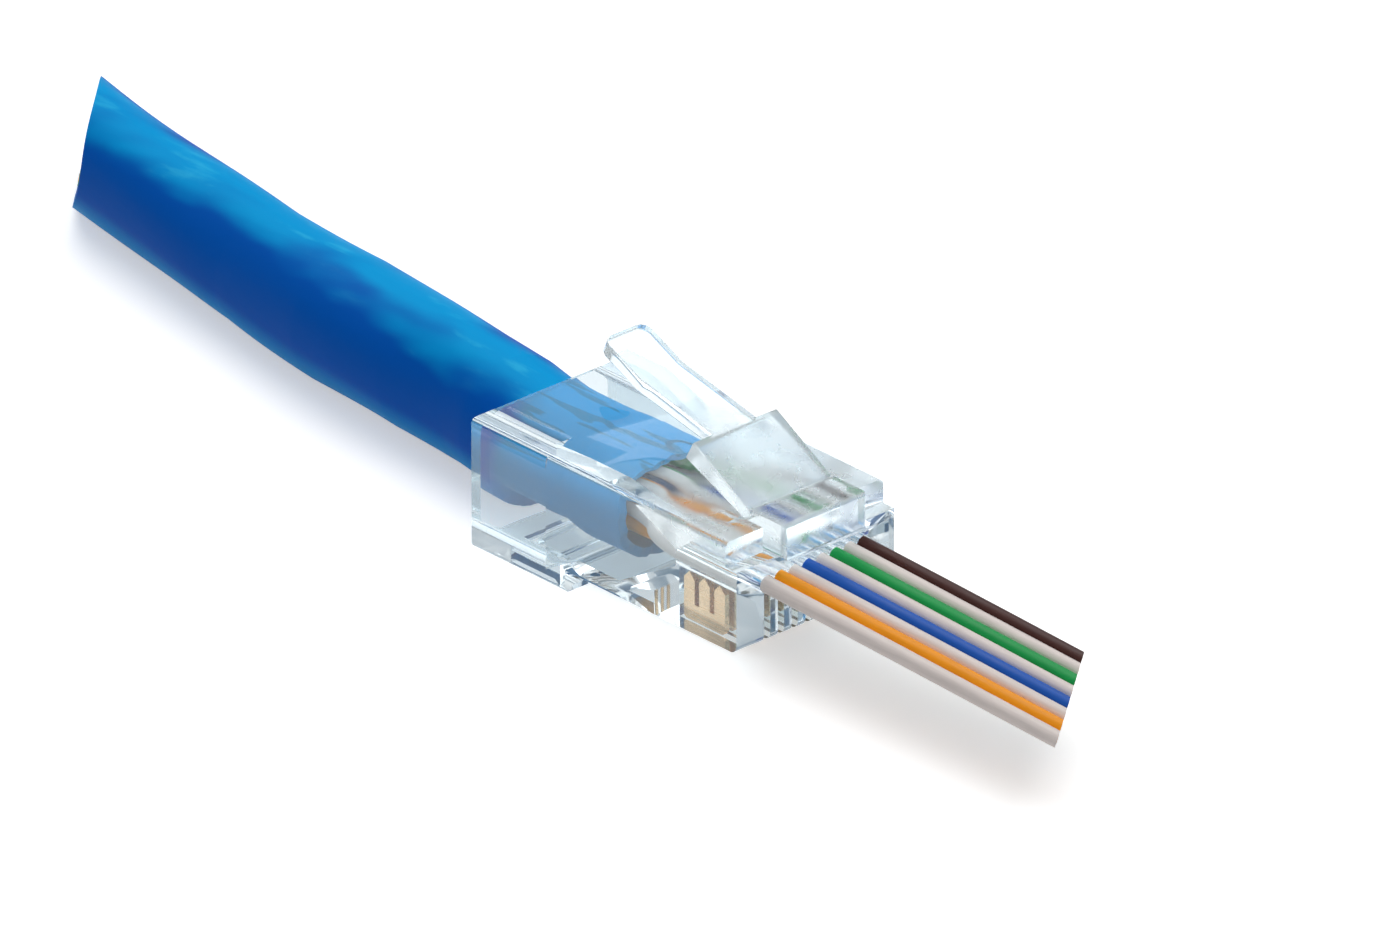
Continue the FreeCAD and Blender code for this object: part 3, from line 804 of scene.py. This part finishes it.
grid, along, angle = jacket()
jacket_mesh = surface("jacket", grid, close_rows=True)
attribute(jacket_mesh, "topside", np.sin(angle))
attribute(jacket_mesh, "in_plug", falling(along, rim + IN_PLUG_END, IN_PLUG_FADES))
# curled: where the lip's painted shadow darkens the jacket.
attribute(jacket_mesh, "curled", lip_painted_shadow(along, angle))
jacket_piece = linked(bpy.data.objects.new("jacket", jacket_mesh))
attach(jacket_piece, "plug")
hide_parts("cable_jacket")
print("jacket:", len(jacket_mesh.polygons), "faces")

# %% [markdown]
# The jacket is soft PVC with a dull surface that is never quite even. Its colour has the light
# and shade round the cable painted into it: painted light on the upper side with paler flecks,
# painted shade on the flank, and painted bounce light on the lower rim. In the plug a second
# pair of blues paints light above and shade below, and the jacket shows streaks where it
# presses against the clear walls. An image would give the same only from one side, so clouds
# of noise and the numbers stored on the mesh choose between a few blues.

# %% Jacket colours, with painted light and shade
BLUES_WITH_PAINTED_SHADING = {
    # The first six are painted light and shade: bounce light below, shade on the flank, light
    # on top with paler flecks, then shade and light in the plug.
    "painted bounce light below": (0.0, 0.27, 0.67),
    "flank": (0.0, 0.10, 0.50),
    "top": (0.0, 0.36, 0.79),
    "fleck in the painted light": (0.02, 0.46, 0.84),
    "painted shade in the plug": (0.0, 0.225, 0.48),
    "painted light in the plug": (0.0, 0.36, 0.75),
    "streak": (0.0, 0.25, 0.47),
    # The lip's painted shadow: a dark ring where the jacket curls over.
    "curled lip with painted shadow": (0.0, 0.18, 0.34),
}
# Where one blue gives way to the next. topside goes from -1 lowest to 1 uppermost.
BOUNCE_TO_PAINTED_SHADE, PAINTED_SHADE_TO_LIGHT = (-0.6, -0.1), (1.16, 1.54)
PAINTED_SHADE_TO_LIGHT_IN_PLUG, TOUCHING = (0.1, 0.6), (0.45, 0.7)
FLECKS, STREAKS, PAINTED_LIP_SHADOW = (0.56, 0.72), (0.56, 0.58), (0.3, 0.6)
RAGGED = 1.1


def free_painted_shading(tree, topside, fine, broad):
    """The painted light and shade of the free cable; broad noise makes the edge of its painted
    light ragged.
    """
    # Painted bounce light on the lower rim, going over to painted shade on the flank.
    painted_shade_below = mixed(
        tree, ranged(tree, topside, *BOUNCE_TO_PAINTED_SHADE), BLUES_WITH_PAINTED_SHADING["painted bounce light below"], BLUES_WITH_PAINTED_SHADING["flank"]
    )
    # Painted light on the upper side, with paler flecks in it.
    painted_light_above = mixed(tree, ranged(tree, fine, *FLECKS), BLUES_WITH_PAINTED_SHADING["top"], BLUES_WITH_PAINTED_SHADING["fleck in the painted light"])
    ragged_painted_light = computed(tree, "MULTIPLY_ADD", broad, RAGGED, topside)
    return mixed(tree, ranged(tree, ragged_painted_light, *PAINTED_SHADE_TO_LIGHT), painted_shade_below, painted_light_above)


def plug_painted_shading_and_streaks(tree, topside, streak):
    """The blue in the plug, with painted light above and painted shade below, streaks on its
    upper side, and the lip with its painted shadow.
    """
    # Painted shade on the flank in the plug, painted light on its upper side.
    colour = mixed(
        tree, ranged(tree, topside, *PAINTED_SHADE_TO_LIGHT_IN_PLUG),
        BLUES_WITH_PAINTED_SHADING["painted shade in the plug"], BLUES_WITH_PAINTED_SHADING["painted light in the plug"],
    )
    touching = computed(
        tree, "MULTIPLY", ranged(tree, topside, *TOUCHING), ranged(tree, streak, *STREAKS)
    )
    colour = mixed(tree, touching, colour, BLUES_WITH_PAINTED_SHADING["streak"])
    # The lip is painted shade: the jacket is darker along its ring.
    curled = ranged(tree, stored(tree, "curled"), *PAINTED_LIP_SHADOW)
    return mixed(tree, curled, colour, BLUES_WITH_PAINTED_SHADING["curled lip with painted shadow"])


print("blues:", len(BLUES_WITH_PAINTED_SHADING))

# %% [markdown]
# Three clouds of noise, all drawn out along the cable as the plastic was when it was made,
# feed those colours. The fine one also lifts the surface a little, because paint alone
# looks flat where the light comes in low.

# %% Jacket finish
FINE, BROAD, STREAKY = (260, 900, 900), (90, 260, 260), (110, 1100, 1100)
UNEVEN, UNEVEN_DEPTH = 0.25, 0.15 * MM

pvc, shader = new_material("blue_jacket")
tree = pvc.node_tree
topside = stored(tree, "topside")
fine = cloud(tree, FINE, 4.0)
broad = cloud(tree, BROAD, 2.0)
streak = cloud(tree, STREAKY, 2.0)
feed(shader, {
    "Base Color": mixed(
        tree, stored(tree, "in_plug"),
        free_painted_shading(tree, topside, fine, broad), plug_painted_shading_and_streaks(tree, topside, streak),
    ),
    "Roughness": 0.5,
    "Specular IOR Level": 0.04,
    "Normal": bumped(tree, fine, UNEVEN, UNEVEN_DEPTH),
})
jacket_mesh.materials.append(pvc)
print("jacket finish:", len(tree.nodes), "nodes")

# %% [markdown]
# Eight insulated conductors leave the jacket in a bundle, cross the plug's throat into one
# flat row, and run out at the nose to a slanting snip. They could be drawn one by one, but
# the far four are the near four mirrored, so four lines of numbers shape all eight.

# %% Conductor routes
WIRE = 0.96 * MM
# These are in millimetres, as the points of a route are.
PITCH = 1.02
HOLLOW_X, JACKET_END_X, ROW_X, TIP_X = -7.95, -0.15, 12.11, 37.45
CABLE_Z, ROW_Z, TIP_Z = 4.7, 4.95, 4.0
FAN = [
    # across, up, starts, ends: in contact pitches past the jacket's end
    (-1.44, 0.35, 0.4, 2.4),
    (-1.36, -0.85, 0.8, 3.1),
    (-0.64, 1.4, 0.1, 3.05),
    (-0.5, -0.36, 2.2, 3.8),
]
ORDER = [
    "white_orange", "orange", "white_green", "blue",
    "white_blue", "green", "white_brown", "brown",
]


def conductor_route(number):
    """From the hollow of the jacket to the row of channels, and on past the snip."""
    mirrored = number >= len(FAN)
    across, up, starts, ends = FAN[len(ORDER) - 1 - number if mirrored else number]
    y_in = (-across if mirrored else across) * PITCH
    z_in = CABLE_Z + up * PITCH
    y_row = (number - (len(ORDER) - 1) / 2) * PITCH
    return route(mm([
        (HOLLOW_X, y_in, z_in),
        (JACKET_END_X + starts * PITCH, y_in, z_in),
        (JACKET_END_X + ends * PITCH, y_row, ROW_Z),
        (ROW_X, y_row, ROW_Z),
        (TIP_X, y_row, TIP_Z),
    ]))


wire_routes = [conductor_route(number) for number in range(len(ORDER))]
print("conductor routes:", len(wire_routes), "of", len(wire_routes[0]), "points each")

# %% [markdown]
# Four conductors have a plain colour, and each of their partners is white with a thin
# stripe of that colour. The stripe could be a strip of faces, but it lies flush, so it is
# only colour: the mesh stores the cosine of the angle from the stripe's middle line, and a
# node group that all the white ones share paints where that is nearly 1.

# %% Insulation
COLOURS = {
    "orange": (1.0, 0.36, 0.008),
    "green": (0.004, 0.33, 0.07),
    "blue": (0.008, 0.10, 0.48),
    "brown": (0.055, 0.014, 0.01),
}
WHITE = (0.84, 0.75, 0.71)
STRIPE_EDGE = (0.92, 0.95)


def stripe_group():
    """A group that paints the stripe over the ground colour, with a narrow soft edge."""
    group, given, result = new_group(
        "Stripe", {"Ground": "Color", "Stripe": "Color"}, {"Colour": "Color"}
    )
    painted = ranged(group, stored(group, "stripe"), *STRIPE_EDGE, shape="LINEAR")
    ground, stripe = given.outputs["Ground"], given.outputs["Stripe"]
    feed(result, {"Colour": mixed(group, painted, ground, stripe)})
    return group


STRIPE = stripe_group()


def insulation(name):
    """A plain coloured plastic, or white with a stripe."""
    material, shader = new_material(f"{name}_wire")
    tree = material.node_tree
    colour = COLOURS[name.split("_")[-1]]
    if "white" in name:
        stripe = added(tree, "ShaderNodeGroup", node_tree=STRIPE)
        feed(stripe, {"Ground": WHITE, "Stripe": colour})
        colour = stripe.outputs["Colour"]
    grained(tree, shader, colour, 0.33, 0.47)
    feed(shader, {"Specular IOR Level": 0.2})
    return material


INSULATION = {name: insulation(name) for name in ORDER}
print("insulation:", list(INSULATION))

# %% [markdown]
# At every cut a bright copper core shows in the middle of its insulation. Only the last two
# millimetres of it are made, because the rest never shows, so each core is a short stub and
# not a whole wire. It stands a hair past the cut: two faces in one plane render as noise.

# %% Stubs at the cuts
CORE = 0.51 * MM
CORE_SEEN = 2 * MM
HAIR = 0.02 * MM
STUB_AROUND, STUB_ROWS = 20, 24
STUB_STRIPE = 3 * MM
copper = metal("copper_core", (0.88, 0.44, 0.26), 0.24, 0.36)


def stub(name, path, cut, diameter, length, past, material):
    """A short rod up to a cut, which stands past it, or behind it where past is negative.

    Its stripe is cos(angle - distance along the path / 3 mm).
    """
    point, normal = cut
    turn = round_turn(STUB_AROUND)
    path = path[(path - point) @ normal < 0]
    far = end_at(path, cut, turn, diameter / 2) + past
    along = far - length + np.linspace(0, 1, STUB_ROWS)[:, None] * length
    mesh = surface(name, carried(path, along, turn, diameter / 2), caps=True)
    attribute(mesh, "stripe", np.cos(turn - along / STUB_STRIPE))
    mesh.materials.append(material)
    piece = linked(bpy.data.objects.new(name, mesh))
    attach(piece, "plug")
    return piece


print(f"copper cores: {CORE / MM:.2f} mm across")

# %% [markdown]
# Each conductor is a plain rod of insulation along its route, with its core. Its stripe goes
# half round it on the way through the plug, as it does where a twisted pair is straightened.

# %% Conductors
WIRE_AROUND, WIRE_ROWS = 28, 260
STRIPE_ANGLE = 1.9
STRIPE_TURNS_AT, STRIPE_TURNS_IN = 6.4 * MM, 16 * MM


def conductor(path):
    """A rod along its route with a slanting flat end, the route up to it, and its stripe.

    The stripe is cos(angle - its own angle - pi x share), and the share goes from 0 to 1
    along the part in which the stripe turns.
    """
    turn = round_turn(WIRE_AROUND)
    far = end_at(path, SNIP, turn, WIRE / 2)
    along = np.linspace(0, 1, WIRE_ROWS)[:, None] * far
    kept = path[lengths_along(path) < far.mean()]
    turned_by = math.pi * rising(along, STRIPE_TURNS_AT, STRIPE_TURNS_IN)
    stripe = np.cos(turn - STRIPE_ANGLE - turned_by)
    return carried(path, along, turn, WIRE / 2), kept, stripe


for number, name in enumerate(ORDER):
    grid, path, stripe = conductor(wire_routes[number])
    mesh = surface(f"insulation_{number + 1}", grid, caps=True)
    attribute(mesh, "stripe", stripe)
    mesh.materials.append(INSULATION[name])
    piece = linked(bpy.data.objects.new(mesh.name, mesh))
    label = f"wire_{number + 1}_{name}"
    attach(piece, "plug")
    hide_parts(label)
    core = stub(
        f"core_{number + 1}", wire_routes[number], SNIP, CORE, CORE_SEEN, HAIR, copper,
    )

# %% [markdown]
# The far cut shows what a cable of this kind holds: four pairs, each of a plain conductor
# and its white partner, twisted round each other. A flat disc with a picture of them would
# look painted on, so the last few millimetres of all eight are there.

# %% Cut pairs
# Millimetres from the cable's middle to a pair's, and from there to a conductor's.
PAIR_OUT, PARTNER_OUT = 1.5, 0.49
PAIR_LAY = 12 * MM
PAIR_SEEN = 7 * MM
# The strands' middle lines start before the end of the cable's route and run on past it.
BEFORE_END, PAST_END, STRAND_POINTS = -10 * MM, 3 * MM, 60


def strand(pair, partner):
    """The middle line of one conductor inside the jacket, near the far cut.

    In the cable's section the pair's middle lies at pair_out e^(i a), and the conductor
    turns round it at partner_out e^(i b), where b grows along the cable. The sum of the two
    complex numbers gives the angle and radius round the cable's own middle line.
    """
    along = cable_length + np.linspace(BEFORE_END, PAST_END, STRAND_POINTS)
    twist = 2 * math.pi * along / PAIR_LAY + pair + partner * math.pi
    middle = PAIR_OUT * np.exp(1j * math.pi * (2 * pair + 1) / 4)
    spot = middle + PARTNER_OUT * np.exp(1j * twist)
    return carried(cable_route, along, np.angle(spot), np.abs(spot) * MM)


pairs = []
for pair in range(4):
    for partner, name in enumerate(ORDER[2 * pair : 2 * pair + 2]):
        path = strand(pair, partner)
        label = f"pair_{pair + 1}_{name}"
        cover, slot = INSULATION[name], f"{name}_wire"
        pairs += [
            stub(label, path, TAIL, WIRE, PAIR_SEEN, -HAIR, cover),
            stub(f"{label}_core", path, TAIL, CORE, CORE_SEEN, HAIR, copper),
        ]
print("pieces at the far cut:", len(pairs))
